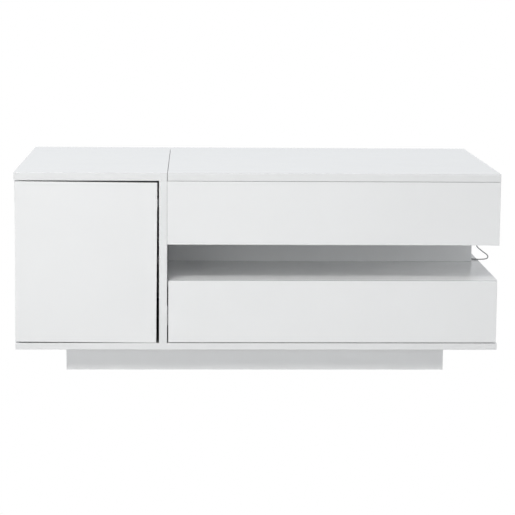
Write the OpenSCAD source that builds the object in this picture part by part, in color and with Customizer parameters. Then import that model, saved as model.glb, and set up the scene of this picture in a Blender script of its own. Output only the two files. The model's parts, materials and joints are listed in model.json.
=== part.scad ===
// Lift top coffee table. A door cabinet stands on the left. On the right a lift-up top covers a
// storage box, with an open shelf below it and a drawer at the bottom, all on a set-back plinth.
// Millimetres, +Z up, origin on the floor under the middle, the fronts face -Y.

/* [Table] */
// Width of the whole table
table_w = 1100; // [1050:10:1200]
// Depth of the whole table
table_d = 600; // [580:10:640]
// Height of the whole table
table_h = 460; // [455:1:480]

/* [Boards] */
// Thickness of the tops, sides, fronts and shelves
board_t = 18; // [17:0.5:19]
// Thickness of the base panel
base_t = 15; // [14:0.5:16]
// Radius of the eased board edges
edge_r = 0.8; // [0.4:0.1:1.2]
// Thickness of the drawer's sides and back
drawer_board_t = 12; // [10:0.5:13]
// Thickness of the drawer's floor
drawer_floor_t = 4; // [3:0.5:5]

/* [Layout] */
// Width of the cabinet, from its left side to the divider's right face
cabinet_w = 344.5; // [320:0.5:380]
// Height of the plinth
plinth_h = 55; // [50:1:60]
// Distance of the plinth in from the table's left end
plinth_inset_left = 113; // [80:1:140]
// Distance of the plinth in from the table's right end
plinth_inset_right = 118; // [80:1:140]
// Distance of the plinth in from the front and the back
plinth_inset_y = 40; // [40:5:70]
// Height of the open shelf's surface
shelf_z = 214.5; // [212:0.5:218]
// Height of the storage box's lower edge
storage_z = 297; // [294:1:300]
// Height of the shelf inside the cabinet
inner_shelf_z = 247; // [240:1:260]
// Depth from the table's middle to the support panel's front face
support_front = 10; // [8:1:12]
// Distance from the support panel's end to the table's right end
support_end = 20; // [19:1:24]

/* [Gaps] */
// Gap under the drawer's front
front_gap = 1.8; // [1.5:0.1:2.2]
// Gap between the drawer's front and the divider
drawer_side_gap = 2.8; // [2:0.1:3]
// Gap between the two tops
seam = 1; // [0.8:0.1:1.5]
// Gap between the back of a moving front and the boards behind it
back_gap = 2; // [2:0.5:3]
// Gap between the lift-up top and the storage box's rim
rim_gap = 0.8; // [0.8:0.1:1.5]
// Gap between the door and the divider at mid-height
door_side_gap = 5.3; // [5:0.1:6]
// Gap over the door at its pivot
door_top_gap = 2.1; // [2:0.1:3]
// Gap under the door at its pivot
door_base_gap = 3; // [3:0.1:3.5]
// Slope at which the door hangs, low at its free end, in degrees
door_sag = 0.42; // [0:0.02:0.42]

/* [Lift mechanism] */
// Length of a lift arm between its pivots
arm_len = 200; // [190:5:205]
// Distance between the front and rear pivots
arm_gap = 90; // [85:5:95]
// Width of a lift arm
arm_w = 20; // [18:1:20]
// Thickness of a lift arm
arm_t = 4; // [3:0.5:4]
// Slope of the folded arms, in degrees
rest_angle = 4.6; // [4.6:0.1:5]
// Turn of the arms from folded to raised, in degrees
lift_angle = 120; // [110:1:120]
// Radius of a lift pivot rivet
rivet_r = 5; // [4:0.5:5]
// Outer radius of a lift spring
spring_r = 6; // [5:0.5:6]

/* [Drawer slides] */
// Length of a slide
slide_len = 450; // [400:10:460]
// Height of a slide
slide_h = 45; // [40:1:46]
// Width of a slide, from the wall to the drawer's side
slide_w = 12.7; // [12.5:0.1:13]

/* [Light] */
// Width of the light strip
strip_w = 10; // [8:1:10]
// Diameter of the light strip's lead
lead_d = 2.6; // [2.2:0.1:2.8]

/* [Hidden] */

// Segments of a round shape
round_fn = 48;
// Segments of an eased edge or another small round
small_fn = 24;
// Clearance of a running fit, on the radius
run_fit = 0.05;
// Clearance of a part that sits in a pocket of its own board
seat_fit = 0.02;

// Colours
gloss_white = [0.93, 0.93, 0.93];
melamine_white = [0.88, 0.88, 0.87];
zinc = [0.72, 0.73, 0.74];
steel = [0.62, 0.63, 0.65];
dark_steel = [0.25, 0.26, 0.27];
nylon_white = [0.85, 0.85, 0.84];
nylon_grey = [0.55, 0.56, 0.57];

// Outer faces
left_x = -table_w / 2;
right_x = table_w / 2;
front_y = -table_d / 2;
back_y = table_d / 2;

// Levels
base_top = plinth_h + base_t;
top_under = table_h - board_t;
rim_z = top_under - rim_gap;
shelf_under = shelf_z - board_t;
box_floor = storage_z + board_t;

// Upright boards
side_in = left_x + board_t;
divider_right = left_x + cabinet_w;
divider_left = divider_right - board_t;
right_in = right_x - board_t;
wall_x = [divider_right, right_in];

// Board faces behind the fronts and ahead of the backs
front_back = front_y + board_t;
carcass_y = front_back + back_gap;
back_in = back_y - board_t;

// Where the fixed top ends and the right-hand fronts start
fixed_top_right = divider_right + 0.5;
lift_top_x = fixed_top_right + seam;
box_front_x = divider_right + 0.3;
drawer_front_x = divider_right + drawer_side_gap;
drawer_front_short = 2.5;

// Door and its pivot pins
door_x0 = left_x + 1.4;
door_x1 = divider_left - door_side_gap;
door_z0 = base_top + door_base_gap;
door_z1 = top_under - door_top_gap;
pivot_in = 6.5;
pivot_x = door_x0 + pivot_in;
pivot_y = front_back - pivot_in;
pin_r = 3;
pin_seat = 8;
bush_r = 4.2;
bush_h = 12;
washer_r = 5.5;
washer_gap = 0.3;
top_washer_t = 1.2;
door_relief = 4.5;
strike_w = 20;
strike_t = 1;

// Push latches
latch_len = 60;
latch_w = 18;
latch_travel = 3;
plunger_r = 5;
plunger_tip_r = 6.5;
plunger_tip_t = 2;
plunger_len = 44;
touch_gap = 0.3;
latch_x = divider_left - latch_w / 2 - 1.5;
door_latch_z = 407 - latch_w;
drawer_latch_x = 170;
drawer_latch_z = 120;

// Drawer box
drawer_z0 = base_top + 14;
drawer_z1 = shelf_under - 18.5;
drawer_y1 = back_in - latch_len - 6;
groove_z = drawer_z0 + 8;
groove_depth = 6;
groove_fit = 0.1;
slide_z = 130;
slide_y0 = carcass_y + 2;
slide_metal = 1.3;

// Lift mechanism, measured inwards from its wall
bracket_t = 3;
rear_arm_u = 4;
front_arm_u = 10;
top_bracket_u = 16.5;
spring_u = 24;
lug_reach = 30;
lug_pin_r = 3;
pivot_front = [-205, top_under - 38];
pivot_rear = pivot_front + [arm_gap, 0];
arm_reach = arm_len * [cos(rest_angle), sin(rest_angle)];
top_pivot_front = pivot_front + arm_reach;
top_pivot_rear = pivot_rear + arm_reach;
lug_dir = -90 - lift_angle / 2;
lug = pivot_front + lug_reach * [cos(lug_dir), sin(lug_dir)];
spring_post = [-88, lug.y];
spring_hook = 16;
spring_wire_r = 1;
base_plate_lo = [-236, 352];
base_plate_hi = [-76, 424];
base_plate_r = 8;
base_screw_at = [[-226, 362], [-90, 362], [-226, 414], [-90, 414]];
cross_bar_at = 70;
cross_bar_r = 8;
cross_bar_wall = 1.5;
top_plate_margin = 22;
top_plate_drop = 14;
top_flange_w = 30;
rivet_head_r = 8;

// Cam fittings: how far a cam sits from the board's end, and its size
cam_reach = 34;
cam_r = 7.5;
cam_depth = 12.5;
cam_y = 200;
bolt_r = 3;
bolt_seat = 11;

// Each cam fitting: the cam's middle on the board's face, the face's normal and the bolt's direction
CAMS = [
  // 0, 1: left side to the fixed top
  for (y = [-cam_y, cam_y]) [[side_in, y, top_under - cam_reach], [1, 0, 0], [0, 0, 1]],
  // 2, 3: divider to the fixed top
  for (y = [-cam_y, cam_y]) [[divider_left, y, top_under - cam_reach], [-1, 0, 0], [0, 0, 1]],
  // 4, 5: storage box side to its front
  for (z = [box_floor + 15, box_floor + 100])
    [[right_in, front_back + cam_reach, z], [-1, 0, 0], [0, -1, 0]],
  // 6, 7: open shelf to the divider
  for (y = [-cam_y, cam_y]) [[divider_right + cam_reach, y, shelf_under], [0, 0, -1], [-1, 0, 0]],
  // 8, 9: lower side to the open shelf
  for (y = [-cam_y, cam_y]) [[right_in, y, shelf_under - cam_reach], [-1, 0, 0], [0, 0, 1]],
  // 10, 11: storage box floor to the divider
  for (y = [-cam_y, cam_y]) [[divider_right + cam_reach, y, storage_z], [0, 0, -1], [-1, 0, 0]],
  // 12, 13: storage box floor to its side
  for (y = [-cam_y, cam_y]) [[right_in - cam_reach, y, storage_z], [0, 0, -1], [1, 0, 0]],
  // 14, 15: support panel down to the open shelf
  for (x = [-100, 400]) [[x, board_t - support_front, shelf_z + cam_reach], [0, 1, 0], [0, 0, -1]],
  // 16, 17: support panel up to the storage box
  for (x = [50, 250]) [[x, board_t - support_front, storage_z - cam_reach], [0, 1, 0], [0, 0, 1]]
];

// Screws up through the base panel into the uprights, and down through it into the plinth
upright_screws = [
  for (x = [left_x + board_t / 2, divider_right - board_t / 2, right_x - board_t / 2])
    for (y = [-200, 0, 200]) [x, y]
];
plinth_screw_y = back_y - plinth_inset_y - board_t / 2;
plinth_screws = [for (x = [-380, 60, 380]) for (y = [-plinth_screw_y, plinth_screw_y]) [x, y]];
base_screw_r = 2.5;
base_screw_len = 45;
plinth_screw_len = 40;
back_screw_len = 35;
small_screw_r = 2;
small_screw_len = 15;
recess_depth = 1.2;

// Shelf pins
shelf_pin_r = 2.5;
shelf_pin_len = 18;
shelf_pin_in = 10;
shelf_pin_y = 180;

// Rubber pads on the storage box's rim
bumper_r = 4;
bumper_t = 0.5;
bumpers = [
  [-150, front_y + board_t / 2], [500, front_y + board_t / 2],
  [-150, back_y - board_t / 2], [500, back_y - board_t / 2]
];

// Light strip, its connector under the storage box's end, and the controller on the shelf
strip_t = 1.5;
strip_y = -support_front - 16;
strip_x0 = divider_right + 12;
chip_w = 5;
chip_t = 1;
chip_pitch = 1000 / 60;
connector_lo = [534, -26, storage_z - 6];
connector_hi = [548, 10, storage_z];
controller_lo = [437, 23, shelf_z];
controller_hi = [482, 43, shelf_z + 11];
gland_r = 2.4;
gland_len = 4;
inlet_r = 2.75;
inlet_depth = 8;

// The lead from the connector's gland, round the support panel's end, to the controller's gland
lead_route = [
  [541, 4, 287], [541, 4, 282], [541, 4, 277], [541, 4, 272], [541, 4, 266], [541.5, 4.5, 260],
  [543, 5, 254], [546, 6, 248.5], [550.5, 7, 244], [555.5, 8, 240], [560.5, 8.5, 236],
  [565.5, 9, 232.5], [570, 9.5, 229], [573, 10, 225], [572.5, 11, 220.5], [568.5, 12, 218],
  [563, 13, 217], [557, 14.5, 216.3], [551, 16, 216], [545, 18, 216], [539, 20.5, 216],
  [533, 23.5, 216], [527, 26.5, 216], [521, 29, 216], [515, 31, 216], [509, 32.5, 216],
  [503, 33, 217], [497, 33, 218.5], [491, 33, 219.5], [486, 33, 220]
];
lead_sides = 8;

// ---------------------------------------------------------------------------------------------
// Helpers

// Rectangle from the origin with its corners rounded
module round_rect(w, h, r) {
  translate([r, 0]) square([w - 2 * r, h]);
  translate([0, r]) square([w, h - 2 * r]);
  for (x = [r, w - r])
    for (y = [r, h - r])
      translate([x, y]) circle(r, $fn = small_fn);
}

// Flat shape in Y and Z, made t thick along X
module plate_yz(t) {
  rotate([90, 0, 90])
    linear_extrude(t)
      children();
}

// Board between two corners with all its edges eased
module board(lo, hi, r = edge_r) {
  size = hi - lo;
  translate(lo)
    intersection() {
      linear_extrude(size.z)
        round_rect(size.x, size.y, r);
      plate_yz(size.x)
        round_rect(size.y, size.z, r);
      translate([0, size.y, 0])
        rotate([90, 0, 0])
          linear_extrude(size.y)
            round_rect(size.x, size.z, r);
    }
}

// Plain block between two corners
module block(lo, hi) {
  translate(lo)
    cube(hi - lo);
}

// Turns +Z to an axis direction
module along(d) {
  turn = d.x != 0 ? [0, 90 * sign(d.x), 0] : d.y != 0 ? [-90 * sign(d.y), 0, 0] : [d.z < 0 ? 180 : 0, 0, 0];
  rotate(turn)
    children();
}

// Cylinder of length h from a point along an axis direction
module rod(p, d, h, r) {
  translate(p)
    along(d)
      cylinder(h = h, r = r, $fn = round_fn);
}

// Puts a part on a wall of the right-hand half: 0 is the divider, 1 the right side
module on_wall(i) {
  translate([wall_x[i], 0, 0])
    if (i == 0)
      children();
    else
      mirror([1, 0, 0])
        children();
}

// Cylinder across a wall's inner space, from u0 to u1 inwards, at a point in Y and Z
module wall_rod(at, u0, u1, r) {
  rod([u0, at.x, at.y], [1, 0, 0], u1 - u0, r);
}

// Flat bar with round ends, from the origin along X
module bar_shape(length, w) {
  translate([0, -w / 2]) square([length, w]);
  for (x = [0, length])
    translate([x, 0]) circle(w / 2, $fn = round_fn);
}

// Cross recess cut into a screw head from the origin up
module cross_recess(size) {
  blade = size / 4;
  for (turn = [0, 90])
    rotate(turn)
      translate([-size / 2, -blade / 2, -1])
        cube([size, blade, recess_depth + 1]);
}

// Countersunk screw pointing +Z, its head's face at the origin; a hole for it has no recess
module countersunk(h, r, head_r, head_h, fit) {
  difference() {
    union() {
      cylinder(h = head_h, r1 = head_r + fit, r2 = r + fit, $fn = small_fn);
      translate([0, 0, head_h])
        cylinder(h = h - head_h + 2 * fit, r = r + fit, $fn = small_fn);
    }
    if (fit == 0)
      cross_recess(head_r * 1.1);
  }
}

// Pockets and bolt holes of the listed cam fittings
module cam_cuts(picks) {
  for (i = picks) {
    p = CAMS[i][0];
    n = CAMS[i][1];
    d = CAMS[i][2];
    rod(p + 0.1 * n, -n, cam_depth + 0.1 + seat_fit, cam_r + seat_fit);
    rod(p - board_t / 2 * n, d, cam_reach + bolt_seat + seat_fit, bolt_r + seat_fit);
  }
}

// Screws of the base panel, grown by fit on the radius for their holes
module base_screw_shapes(fit = 0) {
  for (at = upright_screws)
    translate([at.x, at.y, plinth_h - fit])
      countersunk(base_screw_len, base_screw_r, base_screw_r * 1.8, 3, fit);
  for (at = plinth_screws)
    translate([at.x, at.y, base_top + fit])
      mirror([0, 0, 1])
        countersunk(plinth_screw_len, base_screw_r, base_screw_r * 1.8, 3, fit);
}

// Shelf pins, grown by fit on the radius for their holes
module pin_shapes(fit = 0) {
  for (y = [-shelf_pin_y, shelf_pin_y]) {
    rod([side_in - shelf_pin_in - fit, y, inner_shelf_z - shelf_pin_r], [1, 0, 0],
      shelf_pin_len + fit, shelf_pin_r + fit);
    rod([divider_left + shelf_pin_in + fit, y, inner_shelf_z - shelf_pin_r], [-1, 0, 0],
      shelf_pin_len + fit, shelf_pin_r + fit);
  }
}

// ---------------------------------------------------------------------------------------------
// Plinth and base

plinth_x0 = left_x + plinth_inset_left;
plinth_x1 = right_x - plinth_inset_right;
plinth_y = back_y - plinth_inset_y;

module plinth_front() {
  color(gloss_white)
    difference() {
      board([plinth_x0, -plinth_y, 0], [plinth_x1, -plinth_y + board_t, plinth_h]);
      base_screw_shapes(seat_fit);
    }
}

module plinth_back() {
  color(gloss_white)
    difference() {
      board([plinth_x0, plinth_y - board_t, 0], [plinth_x1, plinth_y, plinth_h]);
      base_screw_shapes(seat_fit);
    }
}

// Rail from front to back between the long rails, its left face at x
module plinth_rail(x) {
  color(gloss_white)
    board([x, -plinth_y + board_t, 0], [x + board_t, plinth_y - board_t, plinth_h]);
}

module plinth_left() {
  plinth_rail(plinth_x0);
}

module plinth_right() {
  plinth_rail(plinth_x1 - board_t);
}

module plinth_middle() {
  plinth_rail((plinth_x0 + plinth_x1 - board_t) / 2);
}

module base_panel() {
  color(gloss_white)
    difference() {
      board([left_x, front_y, plinth_h], [right_x, back_y, base_top]);
      base_screw_shapes(seat_fit);
      rod([pivot_x, pivot_y, base_top - pin_seat - seat_fit], [0, 0, 1], pin_seat + 1, pin_r + seat_fit);
    }
}

module base_screws() {
  color(zinc)
    base_screw_shapes();
}

// ---------------------------------------------------------------------------------------------
// Cabinet

module left_side() {
  color(gloss_white)
    difference() {
      board([left_x, carcass_y, base_top], [side_in, back_y, top_under]);
      cam_cuts([0, 1]);
      base_screw_shapes(seat_fit);
      pin_shapes(seat_fit);
    }
}

module divider() {
  color(gloss_white)
    difference() {
      board([divider_left, front_y, base_top], [divider_right, back_y, top_under]);
      cam_cuts([2, 3, 6, 7, 10, 11]);
      base_screw_shapes(seat_fit);
      pin_shapes(seat_fit);
      on_wall(0) {
        slide_screw_shapes(seat_fit);
        base_plate_screws(seat_fit);
      }
    }
}

module fixed_top() {
  color(gloss_white)
    difference() {
      board([left_x, front_y, top_under], [fixed_top_right, back_y, table_h]);
      cam_cuts([0, 1, 2, 3]);
      rod([pivot_x, pivot_y, top_under - 1], [0, 0, 1], pin_seat + 1 + seat_fit, pin_r + seat_fit);
    }
}

module cabinet_back() {
  color(gloss_white)
    board([side_in, back_in, base_top], [divider_left, back_y, top_under]);
}

module cabinet_shelf() {
  shelf_play = 1;
  shelf_front = carcass_y + 18;
  color(melamine_white)
    board([side_in + shelf_play, shelf_front, inner_shelf_z],
      [divider_left - shelf_play, back_in - shelf_play, inner_shelf_z + board_t - 2]);
}

module shelf_pins() {
  color(zinc)
    pin_shapes();
}

// ---------------------------------------------------------------------------------------------
// Storage box under the lift-up top

module box_front() {
  color(gloss_white)
    difference() {
      board([box_front_x, front_y, storage_z], [right_x, front_back, rim_z]);
      cam_cuts([4, 5]);
    }
}

module box_back() {
  color(gloss_white)
    board([divider_right, back_in, storage_z], [right_in, back_y, rim_z]);
}

module box_side() {
  color(gloss_white)
    difference() {
      board([right_in, front_back, storage_z], [right_x, back_y, rim_z]);
      cam_cuts([4, 5, 12, 13]);
      on_wall(1) base_plate_screws(seat_fit);
    }
}

module box_bottom() {
  color(gloss_white)
    difference() {
      board([divider_right, front_back, storage_z], [right_in, back_in, box_floor]);
      cam_cuts([10, 11, 12, 13, 16, 17]);
    }
}

module rim_bumpers() {
  color(nylon_grey)
    for (at = bumpers)
      rod([at.x, at.y, rim_z], [0, 0, 1], bumper_t, bumper_r);
}

// ---------------------------------------------------------------------------------------------
// Open shelf and lower box

module support_panel() {
  color(gloss_white)
    difference() {
      board([divider_right, -support_front, shelf_z],
        [right_x - support_end, board_t - support_front, storage_z]);
      cam_cuts([14, 15, 16, 17]);
    }
}

module shelf_board() {
  color(gloss_white)
    difference() {
      board([divider_right, carcass_y, shelf_under], [right_x, back_y, shelf_z]);
      cam_cuts([6, 7, 8, 9, 14, 15]);
    }
}

module lower_side() {
  color(gloss_white)
    difference() {
      board([right_in, carcass_y, base_top], [right_x, back_y, shelf_under]);
      cam_cuts([8, 9]);
      base_screw_shapes(seat_fit);
      on_wall(1) slide_screw_shapes(seat_fit);
    }
}

module lower_back() {
  color(gloss_white)
    board([divider_right, back_in, base_top], [right_in, back_y, shelf_under]);
}

// ---------------------------------------------------------------------------------------------
// Cam fittings

module cam_housings() {
  cross_w = 1.6;
  cross_len = 9;
  color(zinc)
    for (cam = CAMS)
      translate(cam[0])
        along(-cam[1])
          difference() {
            cylinder(h = cam_depth, r = cam_r, $fn = round_fn);
            for (turn = [0, 90])
              rotate(turn)
                translate([-cross_len / 2, -cross_w / 2, -1])
                  cube([cross_len, cross_w, 4]);
          }
}

module cam_bolts() {
  color(zinc)
    for (cam = CAMS)
      rod(cam[0] - board_t / 2 * cam[1] + (cam_r + 0.2) * cam[2], cam[2],
        cam_reach + bolt_seat - cam_r - 0.2, bolt_r);
}

// ---------------------------------------------------------------------------------------------
// Door

// Turns the door's board about its pivot line by the slope it hangs at
module hung() {
  middle = [pivot_x, 0, (door_z0 + door_z1) / 2];
  translate(middle)
    rotate([0, door_sag, 0])
      translate(-middle)
        children();
}

module door_panel() {
  relief_side = door_relief * sqrt(2);
  color(gloss_white)
    difference() {
      hung()
        difference() {
          board([door_x0, front_y, door_z0], [door_x1, front_back, door_z1]);
          // Relieved rear corner, so the door turns past the cabinet's side
          translate([door_x0, front_back, door_z0 - 1])
            rotate(45)
              translate([-relief_side / 2, -relief_side / 2, 0])
                cube([relief_side, relief_side, door_z1 - door_z0 + 2]);
          strike_shape(seat_fit);
        }
      rod([pivot_x, pivot_y, door_z0 - 1], [0, 0, 1], bush_h + 1 + seat_fit, bush_r + seat_fit);
      rod([pivot_x, pivot_y, door_z1 + 1], [0, 0, -1], bush_h + 1 + seat_fit, bush_r + seat_fit);
    }
}

// Strike plate for the push latch, let into the door's rear face
module strike_shape(fit = 0) {
  block([latch_x - strike_w / 2 - fit, front_back - strike_t - fit, door_latch_z - strike_w / 2 - fit],
    [latch_x + strike_w / 2 - 4 + fit, front_back + fit, door_latch_z + strike_w / 2 + fit]);
}

module door_strike() {
  color(steel)
    hung() strike_shape();
}

module door_bushes() {
  color(nylon_white)
    for (end = [[door_z0, 1], [door_z1, -1]])
      difference() {
        rod([pivot_x, pivot_y, end[0]], [0, 0, end[1]], bush_h, bush_r);
        rod([pivot_x, pivot_y, end[0] - end[1]], [0, 0, end[1]], bush_h + 2, pin_r + run_fit);
      }
}

module door_pivot_pins() {
  color(steel) {
    rod([pivot_x, pivot_y, base_top - pin_seat], [0, 0, 1],
      pin_seat + door_base_gap + bush_h - 1, pin_r);
    rod([pivot_x, pivot_y, base_top], [0, 0, 1], door_base_gap - washer_gap, washer_r);
    rod([pivot_x, pivot_y, top_under + pin_seat], [0, 0, -1],
      pin_seat + door_top_gap + bush_h - 1, pin_r);
    rod([pivot_x, pivot_y, top_under], [0, 0, -1], top_washer_t, washer_r);
  }
}

// ---------------------------------------------------------------------------------------------
// Push latches: the door's on the divider, the drawer's on the lower back

module latch_housing(x, y, z) {
  difference() {
    board([x - latch_w / 2, y, z - latch_w / 2], [x + latch_w / 2, y + latch_len, z + latch_w / 2], 1.5);
    rod([x, y - 1, z], [0, 1, 0], plunger_len + 2, plunger_r + run_fit);
  }
}

module latch_housings() {
  color(nylon_white) {
    latch_housing(latch_x + 1.5, carcass_y + 4, door_latch_z);
    latch_housing(drawer_latch_x, back_in - latch_len, drawer_latch_z);
  }
}

// Plunger whose tip stands at y, in front of its housing
module plunger(x, y, z) {
  color(nylon_grey) {
    rod([x, y, z], [0, 1, 0], plunger_len, plunger_r);
    rod([x, y, z], [0, 1, 0], plunger_tip_t, plunger_tip_r);
  }
}

module door_plunger() {
  plunger(latch_x + 1.5, front_back + touch_gap, door_latch_z);
}

module drawer_plunger() {
  plunger(drawer_latch_x, drawer_y1 + touch_gap, drawer_latch_z);
}

// ---------------------------------------------------------------------------------------------
// Drawer

drawer_left_x = divider_right + slide_w;
drawer_right_x = right_in - slide_w;

module drawer_front() {
  color(gloss_white)
    difference() {
      board([drawer_front_x, front_y, base_top + front_gap],
        [right_x - drawer_front_short, front_back, shelf_z]);
      front_screw_shapes(seat_fit);
    }
}

// Side board of the drawer between two X faces, grooved for the floor
module drawer_side(x0, x1) {
  color(melamine_white)
    difference() {
      board([x0, front_back, drawer_z0], [x1, drawer_y1, drawer_z1]);
      block([drawer_left_x + drawer_board_t - groove_depth - groove_fit, front_back - 1, groove_z - groove_fit],
        [drawer_right_x - drawer_board_t + groove_depth + groove_fit, drawer_y1 + 1,
          groove_z + drawer_floor_t + groove_fit]);
      front_screw_shapes(seat_fit);
      back_screw_shapes(seat_fit);
    }
}

module drawer_left() {
  drawer_side(drawer_left_x, drawer_left_x + drawer_board_t);
}

module drawer_right() {
  drawer_side(drawer_right_x - drawer_board_t, drawer_right_x);
}

module drawer_back() {
  color(melamine_white)
    difference() {
      board([drawer_left_x + drawer_board_t, drawer_y1 - drawer_board_t, groove_z + drawer_floor_t],
        [drawer_right_x - drawer_board_t, drawer_y1, drawer_z1]);
      back_screw_shapes(seat_fit);
    }
}

module drawer_floor() {
  color(melamine_white)
    block([drawer_left_x + drawer_board_t - groove_depth, front_back, groove_z],
      [drawer_right_x - drawer_board_t + groove_depth, drawer_y1, groove_z + drawer_floor_t]);
}

// Double-ended screws from the drawer's sides into its front
module front_screw_shapes(fit = 0) {
  for (x = [drawer_left_x + drawer_board_t / 2, drawer_right_x - drawer_board_t / 2])
    for (z = [drawer_z0 + 25, drawer_z1 - 18])
      rod([x, front_back - 10 - fit, z], [0, 1, 0], 30 + 2 * fit, base_screw_r + fit);
}

// Screws through the drawer's sides into its back
module back_screw_shapes(fit = 0) {
  for (z = [drawer_z0 + 30, drawer_z1 - 18])
    for (end = [[drawer_left_x, 1], [drawer_right_x, -1]])
      translate([end[0] - end[1] * fit, drawer_y1 - drawer_board_t / 2, z])
        along([end[1], 0, 0])
          countersunk(back_screw_len, small_screw_r, small_screw_r * 2, 2.5, fit);
}

module drawer_screws() {
  color(zinc) {
    front_screw_shapes();
    back_screw_shapes();
  }
}

// ---------------------------------------------------------------------------------------------
// Telescopic slides: channels nested in each other, local X inwards from the wall

// Channel with its web between u0 and u0 + slide_metal and flanges that reach to u1
module channel(u0, u1, h, web_u) {
  block([web_u, slide_y0, slide_z - h / 2], [web_u + slide_metal, slide_y0 + slide_len, slide_z + h / 2]);
  for (z = [slide_z - h / 2, slide_z + h / 2 - slide_metal])
    block([u0, slide_y0, z], [u1, slide_y0 + slide_len, z + slide_metal]);
}

module slide_screw_shapes(fit = 0) {
  for (y = [slide_y0 + 45, slide_y0 + slide_len / 2, slide_y0 + slide_len - 45]) {
    wall_rod([y, slide_z], -12 - fit, slide_metal / 2 + 0.1, 1.8 + fit);
    difference() {
      wall_rod([y, slide_z], slide_metal / 2, slide_metal, 3.2 + fit);
      if (fit == 0)
        translate([slide_metal, y, slide_z])
          along([-1, 0, 0])
            cross_recess(3.2);
    }
  }
}

module slide_screws() {
  color(zinc)
    for (i = [0, 1])
      on_wall(i) slide_screw_shapes();
}

module slide_outers() {
  color(zinc)
    for (i = [0, 1])
      on_wall(i)
        difference() {
          channel(0, 9.5, slide_h, 0);
          slide_screw_shapes(seat_fit);
        }
}

module slide_middles() {
  color(zinc)
    for (i = [0, 1])
      on_wall(i) channel(2, 9, slide_h - 6, 2);
}

module slide_inners() {
  color(zinc)
    for (i = [0, 1])
      on_wall(i) channel(4.5, slide_w, slide_h - 13, slide_w - slide_metal);
}

// ---------------------------------------------------------------------------------------------
// Lift mechanism, drawn on a wall with local X inwards

module base_plate_screws(fit = 0) {
  for (at = base_screw_at)
    translate([bracket_t + fit, at.x, at.y])
      along([-1, 0, 0])
        countersunk(small_screw_len, small_screw_r, small_screw_r * 2, 2, fit);
}

module lift_base(i) {
  size = base_plate_hi - base_plate_lo;
  color(dark_steel)
    on_wall(i)
      difference() {
        plate_yz(bracket_t)
          translate(base_plate_lo)
            round_rect(size.x, size.y, base_plate_r);
        base_plate_screws(seat_fit);
        for (at = [pivot_front, pivot_rear])
          wall_rod(at, -1, bracket_t + 1, rivet_r + seat_fit);
        wall_rod(spring_post, -1, bracket_t + 1, lug_pin_r + seat_fit);
      }
}

module lift_base_left() {
  lift_base(0);
}

module lift_base_right() {
  lift_base(1);
}

module lift_base_screws() {
  color(zinc)
    for (i = [0, 1])
      on_wall(i) base_plate_screws();
}

// Base rivets with their spacers and heads, and the posts that hold the springs
module lift_rivets() {
  head_gap = 0.3;
  front_end = front_arm_u + arm_t + head_gap;
  rear_end = rear_arm_u + arm_t + head_gap;
  color(steel)
    for (i = [0, 1])
      on_wall(i) {
        wall_rod(pivot_front, 0, front_end + 2, rivet_r);
        wall_rod(pivot_front, bracket_t, front_arm_u - head_gap, rivet_head_r);
        wall_rod(pivot_front, front_end, front_end + 2, rivet_head_r);
        wall_rod(pivot_rear, 0, rear_end + 1.3, rivet_r);
        wall_rod(pivot_rear, bracket_t, rear_arm_u - head_gap, rivet_head_r);
        wall_rod(pivot_rear, rear_end, rear_end + 1.3, rivet_head_r - 0.5);
        wall_rod(spring_post, 0, spring_u + spring_r, lug_pin_r);
        wall_rod(spring_post, spring_u + spring_r - 2, spring_u + spring_r, lug_pin_r + 2);
      }
}

// Arm from its base pivot to its top pivot, with a tail for the spring when lug_on is true
module lift_arm(i, u, pivot, top_fit, lug_on) {
  color(dark_steel)
    on_wall(i) {
      difference() {
        translate([u, 0, 0])
          plate_yz(arm_t)
            translate(pivot) {
              rotate(rest_angle)
                bar_shape(arm_len, arm_w);
              if (lug_on)
                rotate(lug_dir)
                  bar_shape(lug_reach, arm_w * 0.8);
            }
        wall_rod(pivot, u - 1, u + arm_t + 1, rivet_r + run_fit);
        wall_rod(pivot + arm_reach, u - 1, u + arm_t + 1, rivet_r + top_fit);
      }
      if (lug_on) {
        wall_rod(lug, u + arm_t / 2, spring_u + spring_r, lug_pin_r);
        wall_rod(lug, spring_u + spring_r - 2, spring_u + spring_r, lug_pin_r + 2);
      }
    }
}

module front_arm_left() {
  lift_arm(0, front_arm_u, pivot_front, run_fit, true);
}

module front_arm_right() {
  lift_arm(1, front_arm_u, pivot_front, run_fit, true);
}

// Clearance of the rear arms' top pivots, where the linkage is open
open_pivot_fit = 0.3;

module rear_arm_left() {
  lift_arm(0, rear_arm_u, pivot_rear, open_pivot_fit, false);
}

module rear_arm_right() {
  lift_arm(1, rear_arm_u, pivot_rear, open_pivot_fit, false);
}

// Tube that joins the two front arms
module cross_bar() {
  at = pivot_front + cross_bar_at * [cos(rest_angle), sin(rest_angle)];
  inset = front_arm_u + arm_t;
  x0 = divider_right + inset;
  length = right_in - divider_right - 2 * inset;
  color(dark_steel)
    difference() {
      rod([x0, at.x, at.y], [1, 0, 0], length, cross_bar_r);
      rod([x0 - 1, at.x, at.y], [1, 0, 0], length + 2, cross_bar_r - cross_bar_wall);
    }
}

// Spring drawn as a closed coil with a straight hook at each end
module lift_springs() {
  coil_y0 = lug.x + spring_hook;
  coil_y1 = spring_post.x - spring_hook;
  hook_end = lug_pin_r + 0.2;
  color(steel)
    for (i = [0, 1])
      on_wall(i) {
        rod([spring_u, coil_y0, lug.y], [0, 1, 0], coil_y1 - coil_y0, spring_r);
        rod([spring_u, lug.x + hook_end, lug.y], [0, 1, 0], spring_hook, spring_wire_r);
        rod([spring_u, spring_post.x - hook_end, lug.y], [0, -1, 0], spring_hook, spring_wire_r);
      }
}

// ---------------------------------------------------------------------------------------------
// Lift-up top

module lift_top() {
  color(gloss_white)
    difference() {
      board([lift_top_x, front_y, top_under], [right_x, back_y, table_h]);
      for (i = [0, 1])
        on_wall(i) top_screw_shapes(seat_fit);
    }
}

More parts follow.
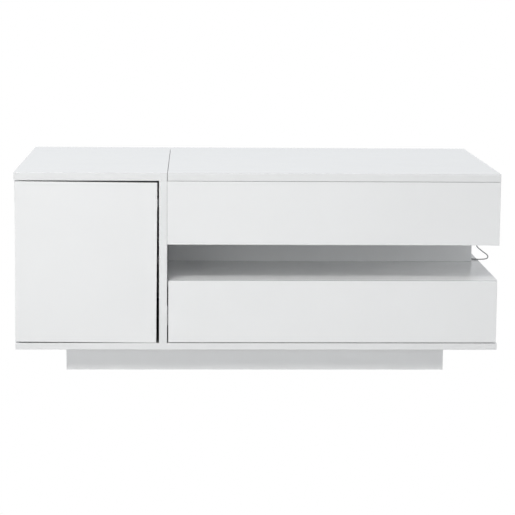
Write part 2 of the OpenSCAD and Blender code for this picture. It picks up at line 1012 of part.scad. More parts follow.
top_plate_y0 = top_pivot_front.x - top_plate_margin;
top_plate_y1 = top_pivot_rear.x + top_plate_margin;

// Angle bracket: a cheek that carries the top pivots and a flange under the top
module top_bracket(i) {
  cheek_h = top_under - top_pivot_front.y + top_plate_drop;
  color(dark_steel)
    on_wall(i)
      difference() {
        union() {
          translate([top_bracket_u, top_plate_y0, top_under - cheek_h])
            plate_yz(bracket_t)
              round_rect(top_plate_y1 - top_plate_y0, cheek_h, 6);
          translate([top_bracket_u, top_plate_y0, top_under - bracket_t])
            cube([top_flange_w, top_plate_y1 - top_plate_y0, bracket_t]);
        }
        for (at = [top_pivot_front, top_pivot_rear])
          wall_rod(at, top_bracket_u - 1, top_bracket_u + bracket_t + 1, rivet_r + seat_fit);
        top_screw_shapes(seat_fit);
      }
}

module top_bracket_left() {
  top_bracket(0);
}

module top_bracket_right() {
  top_bracket(1);
}

module top_screw_shapes(fit = 0) {
  for (y = [top_plate_y0 + 15, (top_plate_y0 + top_plate_y1) / 2, top_plate_y1 - 15])
    translate([top_bracket_u + top_flange_w / 2 + 3, y, top_under - bracket_t - fit])
      countersunk(small_screw_len, small_screw_r, small_screw_r * 2, 2, fit);
}

module top_screws() {
  color(zinc)
    for (i = [0, 1])
      on_wall(i) top_screw_shapes();
}

module top_rivets() {
  head_gap = 0.3;
  bracket_face = top_bracket_u + bracket_t;
  front_end = front_arm_u - head_gap;
  rear_end = rear_arm_u - head_gap;
  color(steel)
    for (i = [0, 1])
      on_wall(i) {
        wall_rod(top_pivot_front, front_end - 1.3, bracket_face, rivet_r);
        wall_rod(top_pivot_front, front_end - 1.3, front_end, rivet_head_r);
        wall_rod(top_pivot_front, front_arm_u + arm_t + head_gap, top_bracket_u, rivet_head_r);
        wall_rod(top_pivot_rear, rear_end - 1.3, bracket_face, rivet_r);
        wall_rod(top_pivot_rear, rear_end - 1.3, rear_end, rivet_head_r);
        wall_rod(top_pivot_rear, rear_arm_u + arm_t + head_gap, top_bracket_u, rivet_head_r);
      }
}

// ---------------------------------------------------------------------------------------------
// Light kit

module led_strip() {
  strip_z = storage_z - strip_t;
  chips = floor((connector_lo.x - strip_x0) / chip_pitch);
  color(nylon_white) {
    block([strip_x0, strip_y, strip_z], [connector_lo.x, strip_y + strip_w, storage_z]);
    for (i = [0 : chips - 1])
      translate([strip_x0 + (i + 0.5) * chip_pitch - chip_w / 2, strip_y + (strip_w - chip_w) / 2,
        strip_z - chip_t])
        cube([chip_w, chip_w, chip_t + 0.5]);
  }
}

module led_connector() {
  start = lead_route[0];
  color(nylon_white) {
    board(connector_lo, connector_hi, 1);
    rod(start, [0, 0, 1], gland_len + 1, gland_r);
  }
}

module led_controller() {
  end = lead_route[len(lead_route) - 1];
  middle = (controller_lo + controller_hi) / 2;
  color(nylon_white)
    difference() {
      union() {
        board(controller_lo, controller_hi, 1.5);
        rod(end, [-1, 0, 0], gland_len + 1, gland_r);
      }
      rod([controller_lo.x - 1, middle.y, middle.z], [1, 0, 0], inlet_depth + 1, inlet_r);
    }
}

// Lead: rings of points square to the route, joined into one closed tube
function unit(v) = v / norm(v);
function heading(path, i) = unit(path[min(i + 1, len(path) - 1)] - path[max(i - 1, 0)]);
function ring(path, i, r, sides) =
  let (t = heading(path, i), side = unit(cross(t, [0, 1, 0])), up = cross(side, t))
    [for (k = [0 : sides - 1]) path[i] + r * (cos(360 * k / sides) * side + sin(360 * k / sides) * up)];

module tube(path, r, sides) {
  rings = len(path);
  points = [for (i = [0 : rings - 1]) each ring(path, i, r, sides)];
  walls = [
    for (i = [0 : rings - 2])
      for (k = [0 : sides - 1])
        let (a = i * sides, b = a + sides, next = (k + 1) % sides)
          each [[a + k, b + k, b + next], [a + k, b + next, a + next]]
  ];
  start_cap = [for (k = [0 : sides - 1]) k];
  end_cap = [for (k = [sides - 1 : -1 : 0]) (rings - 1) * sides + k];
  polyhedron(points, concat(walls, [start_cap], [end_cap]));
}

module led_lead() {
  color(nylon_white)
    tube(lead_route, lead_d / 2, lead_sides);
}

// ---------------------------------------------------------------------------------------------
plinth_front();
plinth_back();
plinth_left();
plinth_right();
plinth_middle();
base_panel();
left_side();
divider();
fixed_top();
cabinet_back();
cabinet_shelf();
shelf_pins();
box_front();
box_back();
box_side();
box_bottom();
support_panel();
shelf_board();
lower_side();
lower_back();
cam_housings();
cam_bolts();
base_screws();
door_pivot_pins();
latch_housings();
slide_outers();
slide_screws();
lift_base_left();
lift_base_right();
lift_rivets();
lift_base_screws();
lift_springs();
rim_bumpers();
led_strip();
led_connector();
led_controller();
led_lead();
door_panel();
door_bushes();
door_strike();
door_plunger();
drawer_front();
drawer_left();
drawer_right();
drawer_back();
drawer_floor();
slide_inners();
drawer_screws();
slide_middles();
drawer_plunger();
front_arm_left();
front_arm_right();
cross_bar();
rear_arm_left();
rear_arm_right();
lift_top();
top_bracket_left();
top_bracket_right();
top_rivets();
top_screws();
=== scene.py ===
"""Looks of the lift top coffee table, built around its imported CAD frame. All lengths are in metres."""

import json
import math
import random

import bmesh
import bpy
from mathutils import Matrix, Vector


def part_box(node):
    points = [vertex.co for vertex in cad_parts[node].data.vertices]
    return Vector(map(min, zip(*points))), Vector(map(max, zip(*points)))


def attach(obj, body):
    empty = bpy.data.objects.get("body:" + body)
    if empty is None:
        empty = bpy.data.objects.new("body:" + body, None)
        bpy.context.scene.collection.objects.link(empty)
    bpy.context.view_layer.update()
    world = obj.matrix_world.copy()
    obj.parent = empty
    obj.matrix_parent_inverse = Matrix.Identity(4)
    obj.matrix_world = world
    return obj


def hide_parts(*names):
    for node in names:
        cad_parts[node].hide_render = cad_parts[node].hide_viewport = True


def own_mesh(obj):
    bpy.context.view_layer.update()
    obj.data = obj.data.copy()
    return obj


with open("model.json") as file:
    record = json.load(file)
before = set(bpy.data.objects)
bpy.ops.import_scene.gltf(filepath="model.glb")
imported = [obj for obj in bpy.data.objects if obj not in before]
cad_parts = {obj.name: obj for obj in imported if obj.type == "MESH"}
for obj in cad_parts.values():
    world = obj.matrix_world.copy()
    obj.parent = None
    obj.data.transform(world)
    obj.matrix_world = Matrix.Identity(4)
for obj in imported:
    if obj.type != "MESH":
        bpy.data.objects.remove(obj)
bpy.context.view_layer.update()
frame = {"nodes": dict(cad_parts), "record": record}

MM = 0.001
rng = random.Random(7)

# ---------------------------------------------------------------------------------------------
# Camera: a long lens at sitting height, a little left of the middle and turned slightly right

CAMERA_PLACE = Vector((-0.1474, -4.5284, 0.9245))
CAMERA_YAW = math.radians(1.988)
CAMERA_PITCH = math.radians(8.818)
CAMERA_ROLL = math.radians(0.443)
CAMERA_LENS = 132.0
CAMERA_SENSOR = 36
CAMERA_REACH = 60


def make_camera():
    """Camera that looks along +Y, turned by yaw to the right, pitch down and roll."""
    ahead = Vector((
        math.sin(CAMERA_YAW) * math.cos(CAMERA_PITCH),
        math.cos(CAMERA_YAW) * math.cos(CAMERA_PITCH),
        -math.sin(CAMERA_PITCH),
    ))
    level = Vector((math.cos(CAMERA_YAW), -math.sin(CAMERA_YAW), 0))
    upright = level.cross(ahead)
    right = math.cos(CAMERA_ROLL) * level + math.sin(CAMERA_ROLL) * upright
    up = -math.sin(CAMERA_ROLL) * level + math.cos(CAMERA_ROLL) * upright
    turn = Matrix((right, up, -ahead)).transposed().to_4x4()
    data = bpy.data.cameras.new("camera")
    data.lens = CAMERA_LENS
    data.sensor_width = CAMERA_SENSOR
    data.clip_end = CAMERA_REACH
    camera = bpy.data.objects.new("camera", data)
    camera.matrix_world = Matrix.Translation(CAMERA_PLACE) @ turn
    bpy.context.scene.collection.objects.link(camera)
    bpy.context.scene.camera = camera


make_camera()

# ---------------------------------------------------------------------------------------------
# Helpers for objects and meshes


def link(name, data):
    """Puts a mesh, curve or light in the scene as an object."""
    piece = bpy.data.objects.new(name, data)
    bpy.context.scene.collection.objects.link(piece)
    return piece


def finish_mesh(name, bm, material, smooth_angle=35):
    """Turns a bmesh into a piece, smooth but for its sharp edges."""
    bmesh.ops.recalc_face_normals(bm, faces=bm.faces)
    mesh = bpy.data.meshes.new(name)
    bm.to_mesh(mesh)
    bm.free()
    mesh.materials.append(material)
    piece = link(name, mesh)
    if smooth_angle:
        mesh.shade_smooth()
        mesh.set_sharp_from_angle(angle=math.radians(smooth_angle))
    return piece


def sweep(bm, path, radius, sides):
    """Adds a round tube along a list of points, with its rings carried along without twist."""
    last = len(path) - 1
    headings = [(path[min(i + 1, last)] - path[max(i - 1, 0)]).normalized() for i in range(last + 1)]
    side = headings[0].orthogonal().normalized()
    rings = []
    for point, heading in zip(path, headings):
        side = (side - heading * side.dot(heading)).normalized()
        across = heading.cross(side)
        ring = []
        for k in range(sides):
            turn = math.tau * k / sides
            ring.append(bm.verts.new(point + radius * (math.cos(turn) * side + math.sin(turn) * across)))
        rings.append(ring)
    for a, b in zip(rings, rings[1:]):
        for k in range(sides):
            n = (k + 1) % sides
            bm.faces.new((a[k], a[n], b[n], b[k]))
    bm.faces.new(rings[0])
    bm.faces.new(list(reversed(rings[-1])))


# ---------------------------------------------------------------------------------------------
# Helpers for node materials

RANGE_SOCKETS = ("From Min", "From Max", "To Min", "To Max")


class Shader:
    """A material with one Principled shader, and short ways to add and join nodes."""

    def __init__(self, name, color, roughness, metallic=0.0, **sockets):
        self.material = bpy.data.materials.new(name)
        self.material.use_nodes = True
        self.tree = self.material.node_tree
        self.surface = self.tree.nodes["Principled BSDF"]
        self.set("Base Color", (*color, 1))
        self.set("Roughness", roughness)
        self.set("Metallic", metallic)
        for socket, value in sockets.items():
            self.set(socket.replace("_", " ").title().replace("Ior", "IOR"), value)

    def set(self, socket, value):
        self.surface.inputs[socket].default_value = value

    def node(self, kind, **settings):
        new = self.tree.nodes.new(kind)
        for key, value in settings.items():
            setattr(new, key, value)
        return new

    def join(self, source, target):
        self.tree.links.new(source, target)

    def feed(self, node, index, value):
        """Gives a node's input a number or another node's output."""
        if isinstance(value, (int, float)):
            node.inputs[index].default_value = value
        else:
            self.join(value, node.inputs[index])

    def math(self, operation, a, b=0.0):
        new = self.node("ShaderNodeMath", operation=operation)
        self.feed(new, 0, a)
        self.feed(new, 1, b)
        return new.outputs[0]

    def place(self):
        """The object's own coordinates, in metres."""
        return self.node("ShaderNodeTexCoord").outputs["Object"]

    def stretched(self, vector, scale):
        mapping = self.node("ShaderNodeMapping")
        mapping.inputs["Scale"].default_value = scale
        self.join(vector, mapping.inputs["Vector"])
        return mapping.outputs[0]

    def noise(self, vector, scale, detail=3.0, roughness=0.5):
        new = self.node("ShaderNodeTexNoise")
        new.inputs["Scale"].default_value = scale
        new.inputs["Detail"].default_value = detail
        new.inputs["Roughness"].default_value = roughness
        self.join(vector, new.inputs["Vector"])
        return new.outputs["Fac"]

    def ramp(self, value, low, high, out_low=0.0, out_high=1.0):
        """Maps low..high to out_low..out_high, smoothly and held at the ends."""
        new = self.node("ShaderNodeMapRange", interpolation_type="SMOOTHSTEP")
        self.join(value, new.inputs["Value"])
        for socket, number in zip(RANGE_SOCKETS, (low, high, out_low, out_high)):
            new.inputs[socket].default_value = number
        return new.outputs[0]

    def mix(self, factor, a, b):
        """Colour between a and b."""
        new = self.node("ShaderNodeMix", data_type="RGBA")
        self.join(factor, new.inputs["Factor"])
        for index, value in ((6, a), (7, b)):
            if isinstance(value, tuple):
                new.inputs[index].default_value = (*value, 1)
            else:
                self.join(value, new.inputs[index])
        return new.outputs[2]

    def bump(self, height, distance, strength=1.0, under=None):
        new = self.node("ShaderNodeBump")
        new.inputs["Distance"].default_value = distance
        new.inputs["Strength"].default_value = strength
        self.join(height, new.inputs["Height"])
        if under is not None:
            self.join(under, new.inputs["Normal"])
        return new.outputs[0]

    def use(self, socket, output):
        self.join(output, self.surface.inputs[socket])


def shade(color, factor):
    """A colour made lighter or darker."""
    return tuple(min(1.0, c * factor) for c in color)


# ---------------------------------------------------------------------------------------------
# Materials

LACQUER_WHITE = (0.845, 0.85, 0.852)
BAND_WHITE = (0.808, 0.813, 0.815)
# The shelf's lighter white is painted light: the same lacquer made lighter to stand in for light reaching
# the shelf in the gap.
SHELF_PAINTED_LIGHT_WHITE = (0.895, 0.9, 0.902)
MELAMINE_WHITE = (0.78, 0.78, 0.77)
BAND_THICKNESS = 1.0 * MM
BAND_LINE = 0.15 * MM
BAND_LINE_TONE = 0.72
BAND_LINE_STRENGTH = 0.35
BAND_LINE_DEPTH = 0.08 * MM
GLOSS_IOR = 1.5
GLOSS_ROUGHNESS = 0.1
GLOSS_BAND_ROUGHNESS = 0.18
SHELF_ROUGHNESS = 0.24
MELAMINE_ROUGHNESS = 0.42
MELAMINE_BAND_ROUGHNESS = 0.45
MELAMINE_BAND_TONE = 0.96
DRIFT_SCALE = 3.0
DRIFT_TONE = 0.008
HAZE_SCALE = 14.0
HAZE_TONE = 0.01
HAZE_ROUGHNESS = 0.06
PEEL_SCALE = 260.0
PEEL_HEIGHT = 0.02 * MM
WAVE_SCALE = 9.0
WAVE_HEIGHT = 0.25 * MM
GRAIN_SCALE = 900.0
GRAIN_HEIGHT = 0.03 * MM
STREAK_HEIGHT = 0.01 * MM
PEBBLE_HEIGHT = 0.06 * MM
PLASTIC_GRAIN_HEIGHT = 0.02 * MM


def edge_distance(s, low, high):
    """Distance of a point from the nearer faces of a board's box, as one output for each axis."""
    split = s.node("ShaderNodeSeparateXYZ")
    s.join(s.place(), split.inputs[0])
    out = []
    for axis in range(3):
        middle = (low[axis] + high[axis]) / 2
        half = (high[axis] - low[axis]) / 2
        from_middle = s.math("ABSOLUTE", s.math("SUBTRACT", split.outputs[axis], middle))
        out.append(s.math("SUBTRACT", half, from_middle))
    return out


def board_material(node, base, band, roughness, band_roughness):
    """A board's drifting white and hazy gloss, its banded edges and the bands' glue line."""
    low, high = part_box(node)
    size = high - low
    thin = min(range(3), key=lambda axis: size[axis])
    wide = [axis for axis in range(3) if axis != thin]
    s = Shader("board_" + node, base, roughness, ior=GLOSS_IOR)
    place = s.place()
    shift = s.node("ShaderNodeVectorMath", operation="ADD")
    shift.inputs[1].default_value = tuple(rng.uniform(-5, 5) for _ in range(3))
    s.join(place, shift.inputs[0])
    moved = shift.outputs[0]

    # Edge faces are those whose normal doesn't run along the thin axis
    normal = s.node("ShaderNodeSeparateXYZ")
    s.join(s.node("ShaderNodeTexCoord").outputs["Normal"], normal.inputs[0])
    on_edge = s.ramp(s.math("ABSOLUTE", normal.outputs[thin]), 0.55, 0.65, 1.0, 0.0)

    distances = edge_distance(s, low, high)
    nearest = s.math("MINIMUM", distances[wide[0]], distances[wide[1]])
    from_line = s.math("ABSOLUTE", s.math("SUBTRACT", nearest, BAND_THICKNESS))
    line = s.math("SUBTRACT", 1.0, s.ramp(from_line, 0, BAND_LINE))
    line = s.math("MULTIPLY", line, s.math("SUBTRACT", 1.0, on_edge))

    # Slow drift of the white and handling haze
    drift = s.ramp(s.noise(moved, DRIFT_SCALE, 2.0), 0.3, 0.7)
    haze = s.ramp(s.noise(moved, HAZE_SCALE, 4.0, 0.6), 0.35, 0.75)
    color = s.mix(drift, shade(base, 1 - DRIFT_TONE), shade(base, 1 + DRIFT_TONE))
    band_color = s.mix(haze, shade(band, 1 - HAZE_TONE), shade(band, 1 + HAZE_TONE))
    color = s.mix(on_edge, color, band_color)
    color = s.mix(s.math("MULTIPLY", line, BAND_LINE_STRENGTH), color, shade(band, BAND_LINE_TONE))
    s.use("Base Color", color)
    rough = s.node("ShaderNodeMix", data_type="FLOAT")
    s.join(on_edge, rough.inputs["Factor"])
    hazy = s.ramp(haze, 0, 1, roughness * (1 - HAZE_ROUGHNESS), roughness * (1 + HAZE_ROUGHNESS))
    s.join(hazy, rough.inputs[2])
    rough.inputs[3].default_value = band_roughness
    s.use("Roughness", rough.outputs[0])
    return s, moved, line


def gloss_board(node):
    """High-gloss lacquer; the open shelf's board gets a lighter white, painted light for the light that
    falls into the gap under the box, and is less sharp in its gloss.
    """
    # The shelf board's lighter white is painted light for the gap under the box.
    if node == "shelf_board":
        base, roughness = SHELF_PAINTED_LIGHT_WHITE, SHELF_ROUGHNESS
    else:
        base, roughness = LACQUER_WHITE, GLOSS_ROUGHNESS
    s, moved, line = board_material(node, base, BAND_WHITE, roughness, GLOSS_BAND_ROUGHNESS)
    peel = s.noise(moved, PEEL_SCALE, 2.0, 0.45)
    wave = s.noise(moved, WAVE_SCALE, 1.0, 0.4)
    surface = s.bump(wave, WAVE_HEIGHT, 0.35)
    surface = s.bump(peel, PEEL_HEIGHT, 0.5, surface)
    surface = s.bump(s.math("SUBTRACT", 1.0, line), BAND_LINE_DEPTH, 0.6, surface)
    s.use("Normal", surface)
    return s.material


def melamine_board(node):
    """Matt melamine with a fine grain."""
    band = shade(MELAMINE_WHITE, MELAMINE_BAND_TONE)
    s, moved, line = board_material(
        node, MELAMINE_WHITE, band, MELAMINE_ROUGHNESS, MELAMINE_BAND_ROUGHNESS
    )
    grain = s.noise(moved, GRAIN_SCALE, 3.0, 0.6)
    surface = s.bump(grain, GRAIN_HEIGHT, 0.6)
    s.use("Normal", s.bump(s.math("SUBTRACT", 1.0, line), BAND_LINE_DEPTH, 0.6, surface))
    return s.material


def metal(name, color, roughness, streak=(60, 60, 4000)):
    """Plated or turned metal with fine streaks and slightly uneven plating."""
    s = Shader(name, color, roughness, 1.0)
    place = s.place()
    patch = s.noise(place, 90.0, 4.0, 0.6)
    streaks = s.noise(s.stretched(place, streak), 1.0, 3.0, 0.7)
    s.use("Base Color", s.mix(s.ramp(patch, 0.3, 0.7), shade(color, 0.9), shade(color, 1.06)))
    s.use("Roughness", s.ramp(streaks, 0.25, 0.75, roughness * 0.75, roughness * 1.3))
    s.use("Normal", s.bump(streaks, STREAK_HEIGHT, 0.6))
    return s.material


def powder_coat():
    """Black powder-coated steel with its fine pebbled skin."""
    color = (0.022, 0.022, 0.024)
    s = Shader("black_powder_coat", color, 0.5)
    place = s.place()
    pebble = s.noise(place, 1500.0, 2.0, 0.6)
    patch = s.noise(place, 30.0, 3.0)
    s.use("Base Color", s.mix(s.ramp(patch, 0.3, 0.7), shade(color, 0.85), shade(color, 1.2)))
    s.use("Roughness", s.ramp(pebble, 0.2, 0.8, 0.42, 0.6))
    s.use("Normal", s.bump(pebble, PEBBLE_HEIGHT, 0.7))
    return s.material


def plastic(name, color, roughness, grain=1200.0, **sockets):
    """Moulded plastic with a fine spark-eroded grain."""
    s = Shader(name, color, roughness, **sockets)
    place = s.place()
    fine = s.noise(place, grain, 2.0, 0.55)
    flow = s.noise(place, 60.0, 3.0)
    s.use("Base Color", s.mix(s.ramp(flow, 0.3, 0.7), shade(color, 0.97), shade(color, 1.02)))
    s.use("Roughness", s.ramp(fine, 0.25, 0.75, roughness * 0.9, roughness * 1.1))
    s.use("Normal", s.bump(fine, PLASTIC_GRAIN_HEIGHT, 0.6))
    return s.material


ZINC = metal("zinc_plate", (0.68, 0.69, 0.70), 0.3)
TURNED = metal("turned_steel", (0.56, 0.57, 0.58), 0.24, (3000, 80, 80))
SPRING = metal("spring_wire", (0.5, 0.51, 0.52), 0.27)
BLACK = powder_coat()
NYLON = plastic("white_nylon", (0.78, 0.78, 0.765), 0.42, subsurface_weight=0.05)
GREY_NYLON = plastic("grey_nylon", (0.32, 0.33, 0.34), 0.45)
RUBBER = plastic("bumper_rubber", (0.5, 0.5, 0.5), 0.6, 800.0)
JACKET = plastic("lead_jacket", (0.29, 0.29, 0.295), 0.4, 600.0)
RIBBON = plastic("strip_ribbon", (0.8, 0.8, 0.79), 0.35)
CHIP = plastic("chip_body", (0.83, 0.83, 0.8), 0.3)
PHOSPHOR = plastic("chip_phosphor", (0.75, 0.62, 0.16), 0.25)
SOLDER = metal("solder_pad", (0.72, 0.7, 0.66), 0.3)

SHARED = {
    "zinc_fitting": ZINC,
    "steel_pin": TURNED,
    "spring_steel": SPRING,
    "black_steel": BLACK,
    "white_nylon": NYLON,
    "grey_nylon": GREY_NYLON,
    "bumper_rubber": RUBBER,
    "light_strip": RIBBON,
    "lead_jacket": JACKET,
}
BOARDS = {"gloss_board": gloss_board, "melamine_board": melamine_board}


def dress_cad_nodes():
    """Gives each CAD node the material of its slot; each board has one of its own."""
    for row in frame["record"]["subparts"]:
        node = row["node"]
        slot = row["material_slot"]
        material = BOARDS[slot](node) if slot in BOARDS else SHARED[slot]
        data = frame["nodes"][node].data
        data.materials.clear()
        data.materials.append(material)


dress_cad_nodes()

# ---------------------------------------------------------------------------------------------
# Lead of the light strip, from the connector's gland round the support panel to the controller

LEAD_DIAMETER = 2.6 * MM
LEAD_ROUTE = [
    (541, 4, 287), (541, 4, 282), (541, 4, 277), (541, 4, 272), (541, 4, 266), (541.5, 4.5, 260),
    (543, 5, 254), (546, 6, 248.5), (550.5, 7, 244), (555.5, 8, 240), (560.5, 8.5, 236),
    (565.5, 9, 232.5), (570, 9.5, 229), (573, 10, 225), (572.5, 11, 220.5), (568.5, 12, 218),
    (563, 13, 217), (557, 14.5, 216.3), (551, 16, 216), (545, 18, 216), (539, 20.5, 216),
    (533, 23.5, 216), (527, 26.5, 216), (521, 29, 216), (515, 31, 216), (509, 32.5, 216),
    (503, 33, 217), (497, 33, 218.5), (491, 33, 219.5), (486, 33, 220),
]


def make_lead():
    """The lead as one smooth curve through the route's points."""
    data = bpy.data.curves.new("led_lead_flex", "CURVE")
    data.dimensions = "3D"
    data.bevel_depth = LEAD_DIAMETER / 2
    data.bevel_resolution = 5
    data.resolution_u = 8
    data.use_fill_caps = True
    spline = data.splines.new("BEZIER")
    spline.bezier_points.add(len(LEAD_ROUTE) - 1)
    points = [Vector(p) * MM for p in LEAD_ROUTE]
    for knot, point in zip(spline.bezier_points, points):
        knot.co = point
        knot.handle_left_type = knot.handle_right_type = "AUTO"
    data.materials.append(JACKET)
    piece = link("led_lead_flex", data)
    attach(piece, "carcass")
    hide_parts("led_lead")


make_lead()

# ---------------------------------------------------------------------------------------------
# Lift springs: coils with a long eye at each end, stretched when the top is down

SPRING_WIRE = 0.9 * MM
SPRING_SIDES = 8
SPRING_TURNS = 30
TURN_STEPS = 16
COIL_EASE = 10
COIL_END = 0.15
EYE_PIN = 3 * MM
EYE_CLEARANCE = 0.3 * MM
EYE_SPAN = 16 * MM
# Where each eye starts and how far it goes round its pin, in degrees
LUG_EYE_START = -20
POST_EYE_START = 200
EYE_TURN = 300
NECK = Vector((0, 1.5 * MM, 0.5 * MM))
PIN_TO_BOX = 3.2 * MM
LUG_REACH = 30 * MM
LIFT_TURN = math.radians(120)


def spring_path(low, high, keep):
    """Centreline of one spring whose box runs from low to high, along Y.

    The eyes are long enough at rest to stay round the pins when the spring shortens to keep.
    """
    x = (low.x + high.x) / 2
    z = (low.z + high.z) / 2
    coil = (high.x - low.x) / 2 - SPRING_WIRE
    round_pin = EYE_PIN + SPRING_WIRE + EYE_CLEARANCE
    eye = round_pin / keep
    lug_y = low.y - PIN_TO_BOX
    post_y = high.y + PIN_TO_BOX
    y0 = lug_y + EYE_SPAN
    y1 = post_y - EYE_SPAN

    def eye_points(pin_y, start, way):
        turns = [math.radians(start + way * EYE_TURN * k / TURN_STEPS) for k in range(TURN_STEPS + 1)]
        return [Vector((x, pin_y + eye * math.cos(t), z + round_pin * math.sin(t))) for t in turns]

    path = eye_points(lug_y, LUG_EYE_START, 1)
    path.reverse()
    path.append(Vector((x, lug_y + eye + NECK.y, z + NECK.z)))
    steps = SPRING_TURNS * TURN_STEPS
    for k in range(steps + 1):
        turn = math.tau * k / TURN_STEPS
        ease = min(1.0, k / COIL_EASE, (steps - k) / COIL_EASE)
        r = coil * (COIL_END + (1 - COIL_END) * ease)
        path.append(Vector((x + r * math.sin(turn), y0 + (y1 - y0) * k / steps, z + r * math.cos(turn))))
    path.append(Vector((x, post_y - eye - NECK.y, z + NECK.z)))
    path += eye_points(post_y, POST_EYE_START, -1)
    return path


def spring_boxes():
    """The boxes of the two springs, read from the CAD node that holds both."""
    points = [v.co for v in frame["nodes"]["lift_springs"].data.vertices]
    middle = (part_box("box_bottom")[0].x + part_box("box_bottom")[1].x) / 2
    for side, name in ((-1, "lift_spring_left"), (1, "lift_spring_right")):
        mine = [p for p in points if (p.x - middle) * side > 0]
        low = Vector([min(p[a] for p in mine) for a in range(3)])
        high = Vector([max(p[a] for p in mine) for a in range(3)])
        yield name, low, high


def make_springs():
    """Both springs, which shorten towards their posts as the lift turns."""
    travel = 2 * LUG_REACH * math.sin(LIFT_TURN / 2)
    for name, low, high in spring_boxes():
        post_y = high.y + PIN_TO_BOX
        span = post_y - (low.y - PIN_TO_BOX)
        keep = (span - travel) / span
        bm = bmesh.new()
        sweep(bm, spring_path(low, high, keep), SPRING_WIRE, SPRING_SIDES)
        piece = finish_mesh(name, bm, SPRING, smooth_angle=60)
        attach(piece, "carcass")
        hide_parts("lift_springs")
        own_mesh(piece)


make_springs()

# ---------------------------------------------------------------------------------------------
# Light strip: a ribbon with chips, their phosphor faces, resistors and cut pads

CHIP_PITCH = 1 / 60
CHIP_SIZE = 5 * MM
CHIP_HEIGHT = 0.88 * MM
CHIP_BEVEL = 0.2 * MM
PHOSPHOR_RADIUS = 1.9 * MM
PHOSPHOR_HEIGHT = 0.12 * MM
RIBBON_THICKNESS = 1.5 * MM
RIBBON_BEVEL = 0.3 * MM
CHIPS_PER_CUT = 3
PAD_SIZE = (1.6 * MM, 2.2 * MM)
PAD_HEIGHT = 0.06 * MM
RESISTOR_SIZE = (3.2 * MM, 1.6 * MM)
RESISTOR_HEIGHT = 0.55 * MM
RESISTOR_BEVEL = 0.1 * MM
DISC_SEGMENTS = 20
DISC_TAPER = 0.88
PAD_OFFSET = 0.6
# The piece's material slots, in this order; the resistors are black
STRIP_MATERIALS = (RIBBON, CHIP, PHOSPHOR, SOLDER, BLACK)


def add_block(bm, middle, size, material, bevel=0.0):
    """Adds a box of one of the strip's materials, its edges rounded if bevel is given."""
    verts = bmesh.ops.create_cube(bm, size=1)["verts"]
    for vert in verts:
        vert.co = Vector([middle[a] + vert.co[a] * size[a] for a in range(3)])
    for face in {f for v in verts for f in v.link_faces}:
        face.material_index = STRIP_MATERIALS.index(material)
    if bevel:
        edges = list({e for v in verts for e in v.link_edges})
        bmesh.ops.bevel(bm, geom=edges, offset=bevel, segments=2, profile=0.5, affect="EDGES")


def add_disc(bm, middle, radius, height, material):
    """Adds a low round disc of one of the strip's materials, a little narrower at its lower face."""
    made = bmesh.ops.create_cone(
        bm, cap_ends=True, segments=DISC_SEGMENTS, radius1=radius * DISC_TAPER, radius2=radius,
        depth=height, matrix=Matrix.Translation(middle),
    )
    for face in {f for v in made["verts"] for f in v.link_faces}:
        face.material_index = STRIP_MATERIALS.index(material)


def make_light_strip():
    """The ribbon with all that is soldered to its underside, as one piece."""
    low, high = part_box("led_strip")
    middle_y = (low.y + high.y) / 2
    width = high.y - low.y
    length = high.x - low.x
    under = high.z - RIBBON_THICKNESS
    bm = bmesh.new()
    add_block(
        bm, ((low.x + high.x) / 2, middle_y, high.z - RIBBON_THICKNESS / 2),
        (length, width, RIBBON_THICKNESS), RIBBON, RIBBON_BEVEL,
    )
    for i in range(int(length / CHIP_PITCH)):
        x = low.x + (i + 0.5) * CHIP_PITCH
        chip_place = (x, middle_y, under - CHIP_HEIGHT / 2)
        add_block(bm, chip_place, (CHIP_SIZE, CHIP_SIZE, CHIP_HEIGHT), CHIP, CHIP_BEVEL)
        face_z = under - CHIP_HEIGHT - PHOSPHOR_HEIGHT / 2
        add_disc(bm, (x, middle_y, face_z), PHOSPHOR_RADIUS, PHOSPHOR_HEIGHT, PHOSPHOR)
        between = x + CHIP_PITCH / 2
        if i % CHIPS_PER_CUT == 0:
            add_block(
                bm, (between, middle_y, under - RESISTOR_HEIGHT / 2),
                (RESISTOR_SIZE[1], RESISTOR_SIZE[0], RESISTOR_HEIGHT), BLACK, RESISTOR_BEVEL,
            )
        if i % CHIPS_PER_CUT == CHIPS_PER_CUT - 1:
            for side in (-1, 1):
                pad_x = between + side * PAD_SIZE[0] * PAD_OFFSET
                for row in (-1, 1):
                    place = (pad_x, middle_y + row * width / 4, under - PAD_HEIGHT / 2)
                    add_block(bm, place, (*PAD_SIZE, PAD_HEIGHT), SOLDER)
    piece = finish_mesh("led_strip_detail", bm, RIBBON)
    for material in STRIP_MATERIALS[1:]:
        piece.data.materials.append(material)
    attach(piece, "carcass")
    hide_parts("led_strip")


make_light_strip()

# ---------------------------------------------------------------------------------------------
# Stage: a pale floor, a plain white surround and large soft lights

FLOOR_SIZE = 30.0
FLOOR_GREY = (0.76, 0.76, 0.76)
FLOOR_ROUGHNESS = 0.7
WORLD_LOW = 1.06
WORLD_HIGH = 0.3
WORLD_FADE = 0.5
WORLD_LEAN = 0.12
WORLD_BACK = 1.05
WORLD_TINT = (0.955, 0.975, 1.0, 1)
# Each light: name, place, target, size, power and colour
LIGHTS = (
    ("key", (-1.5, -3.0, 3.45), (0, 0, 0.25), (2.0, 0.8), 96, (1.0, 0.993, 0.975)),
    ("front_fill", (-2.4, -5.3, 1.2), (0, 0, 0.25), (2.5, 0.8), 20, (1, 1, 1)),
    ("side_fill", (3.0, 0.1, 0.9), (0.3, -0.05, 0.25), (1.2, 0.6), 10, (1, 1, 1)),
    ("overhead", (0, 0.3, 3.2), (0, 0, 0), (3.4, 2.6), 15, (1.0, 0.993, 0.98)),
)


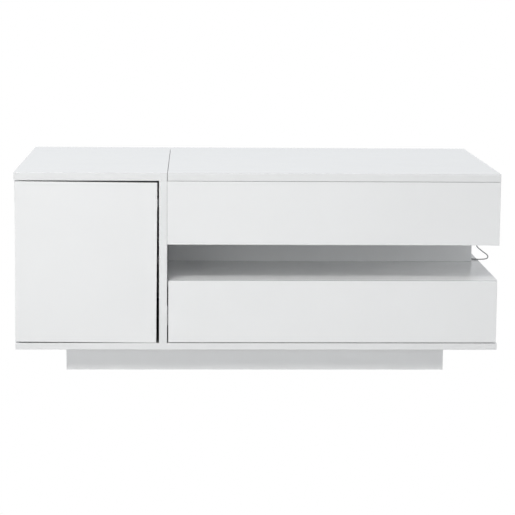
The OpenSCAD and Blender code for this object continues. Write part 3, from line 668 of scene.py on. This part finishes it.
def only_to_camera(nodes, links, light, seen, out):
    """Shows one shader to the camera and another to every other ray."""
    which = nodes.new("ShaderNodeMixShader")
    links.new(nodes.new("ShaderNodeLightPath").outputs["Is Camera Ray"], which.inputs[0])
    links.new(light, which.inputs[1])
    links.new(seen, which.inputs[2])
    links.new(which.outputs[0], out.inputs["Surface"])


def make_floor():
    """White floor that the camera sees as evenly lit paper."""
    bm = bmesh.new()
    bmesh.ops.create_grid(bm, x_segments=2, y_segments=2, size=FLOOR_SIZE / 2)
    s = Shader("floor_white", FLOOR_GREY, FLOOR_ROUGHNESS)
    paper = s.node("ShaderNodeEmission")
    paper.inputs["Strength"].default_value = 1.0
    only_to_camera(
        s.tree.nodes, s.tree.links, s.surface.outputs[0], paper.outputs[0], s.tree.nodes["Material Output"]
    )
    floor = finish_mesh("floor", bm, s.material, smooth_angle=0)


def make_world():
    """White surround: full white to the camera; as light it is stronger low down, left and behind."""
    world = bpy.data.worlds.new("studio")
    bpy.context.scene.world = world
    world.use_nodes = True
    nodes, links = world.node_tree.nodes, world.node_tree.links
    nodes.clear()
    out = nodes.new("ShaderNodeOutputWorld")
    seen = nodes.new("ShaderNodeBackground")
    seen.inputs["Strength"].default_value = 1.0
    seen.inputs["Color"].default_value = (1, 1, 1, 1)
    light = nodes.new("ShaderNodeBackground")
    light.inputs["Color"].default_value = WORLD_TINT
    split = nodes.new("ShaderNodeSeparateXYZ")
    links.new(nodes.new("ShaderNodeTexCoord").outputs["Generated"], split.inputs[0])
    spans = (
        (split.outputs[0], -1, 1, 1 + WORLD_LEAN, 1 - WORLD_LEAN),
        (split.outputs[1], 0, 1, 1, WORLD_BACK),
        (split.outputs[2], 0, WORLD_FADE, WORLD_LOW, WORLD_HIGH),
    )
    level = None
    for source, *numbers in spans:
        span = nodes.new("ShaderNodeMapRange")
        links.new(source, span.inputs["Value"])
        for socket, number in zip(RANGE_SOCKETS, numbers):
            span.inputs[socket].default_value = number
        if level is None:
            level = span.outputs[0]
            continue
        product = nodes.new("ShaderNodeMath")
        product.operation = "MULTIPLY"
        links.new(level, product.inputs[0])
        links.new(span.outputs[0], product.inputs[1])
        level = product.outputs[0]
    links.new(level, light.inputs["Strength"])
    only_to_camera(nodes, links, light.outputs[0], seen.outputs[0], out)


def area_light(name, place, target, size, power, color):
    """A rectangular soft light that faces its target."""
    data = bpy.data.lights.new(name, "AREA")
    data.shape = "RECTANGLE"
    data.size, data.size_y = size
    data.energy = power
    data.color = color
    light = link(name, data)
    light.location = place
    light.rotation_euler = (Vector(target) - Vector(place)).to_track_quat("-Z", "Y").to_euler()


make_floor()
make_world()
for row in LIGHTS:
    area_light(*row)

scene = bpy.context.scene
scene.view_settings.view_transform = "Standard"
scene.view_settings.look = "None"
